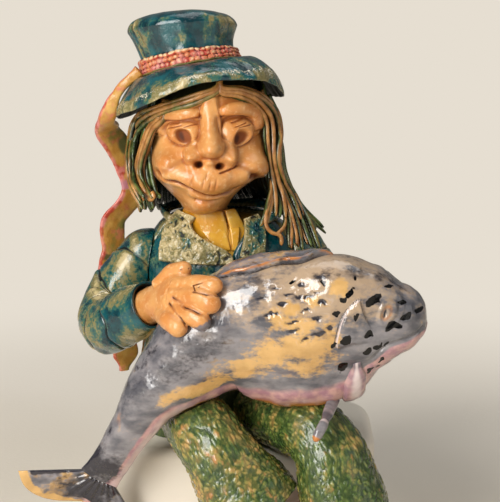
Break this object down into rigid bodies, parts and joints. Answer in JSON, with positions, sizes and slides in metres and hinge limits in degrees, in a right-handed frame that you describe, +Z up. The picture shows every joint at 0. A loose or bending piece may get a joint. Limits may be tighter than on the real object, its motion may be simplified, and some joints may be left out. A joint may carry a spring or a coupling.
{
  "type": "water sprite figurine",
  "caption": "Hand-built glazed clay water sprite in a top hat, seated on a shelf edge with a large spotted fish across its lap.",
  "frame": {"origin": "middle of the flat seat face that rests on the shelf", "axes": "+Z up, the figure faces -Y, +X towards the figure's left hand"},
  "size_m": [0.218, 0.1675, 0.299],
  "materials": {
    "teal_glaze": "glossy",
    "yellow_glaze": "glossy",
    "ribbon_glaze": "glossy",
    "band_glaze": "satin",
    "hair_glaze": "glossy",
    "fish_glaze": "glossy",
    "fish_pink_glaze": "glossy",
    "trouser_glaze": "satin",
    "boot_glaze": "satin",
    "bare_clay": "satin"
  },
  "bodies": {
    "root": {"trouser_seat": "trouser_glaze", "torso": "yellow_glaze", "neck": "bare_clay", "shirt_front": "yellow_glaze", "shirt_collar": "yellow_glaze", "coat_back": "teal_glaze", "coat_front_right": "teal_glaze", "coat_front_left": "teal_glaze", "lapel_right": "teal_glaze", "lapel_left": "teal_glaze", "coat_collar": "teal_glaze", "sleeve_right": "teal_glaze", "sleeve_left": "teal_glaze", "hand_right": "bare_clay", "hand_left": "bare_clay", "head": "bare_clay", "nose": "bare_clay", "eye_right": "bare_clay", "eye_left": "bare_clay", "eyelid_right": "bare_clay", "eyelid_left": "bare_clay", "upper_lip": "bare_clay", "lower_lip": "bare_clay", "hair_right": "hair_glaze", "hair_left": "hair_glaze", "hair_back": "hair_glaze", "fringe_right": "hair_glaze", "fringe_left": "hair_glaze", "hat_brim": "teal_glaze", "hat_crown": "teal_glaze", "hat_band": "band_glaze", "hat_ribbon": "ribbon_glaze", "fish_body": "fish_glaze", "fish_tail_fin": "fish_glaze", "fish_dorsal_fin": "fish_glaze", "fish_gill_cover_front": "fish_glaze", "fish_gill_cover_back": "fish_glaze", "fish_eyes": "fish_glaze", "fish_pectoral_fin_front": "fish_pink_glaze", "fish_pectoral_fin_back": "fish_pink_glaze", "fish_pelvic_fin": "fish_glaze", "fish_lower_jaw": "fish_pink_glaze", "leg_right": "trouser_glaze", "leg_left": "trouser_glaze", "boot_right": "boot_glaze", "boot_left": "boot_glaze", "boot_cuff_right": "boot_glaze", "boot_cuff_left": "boot_glaze"}
  },
  "joints": []
}
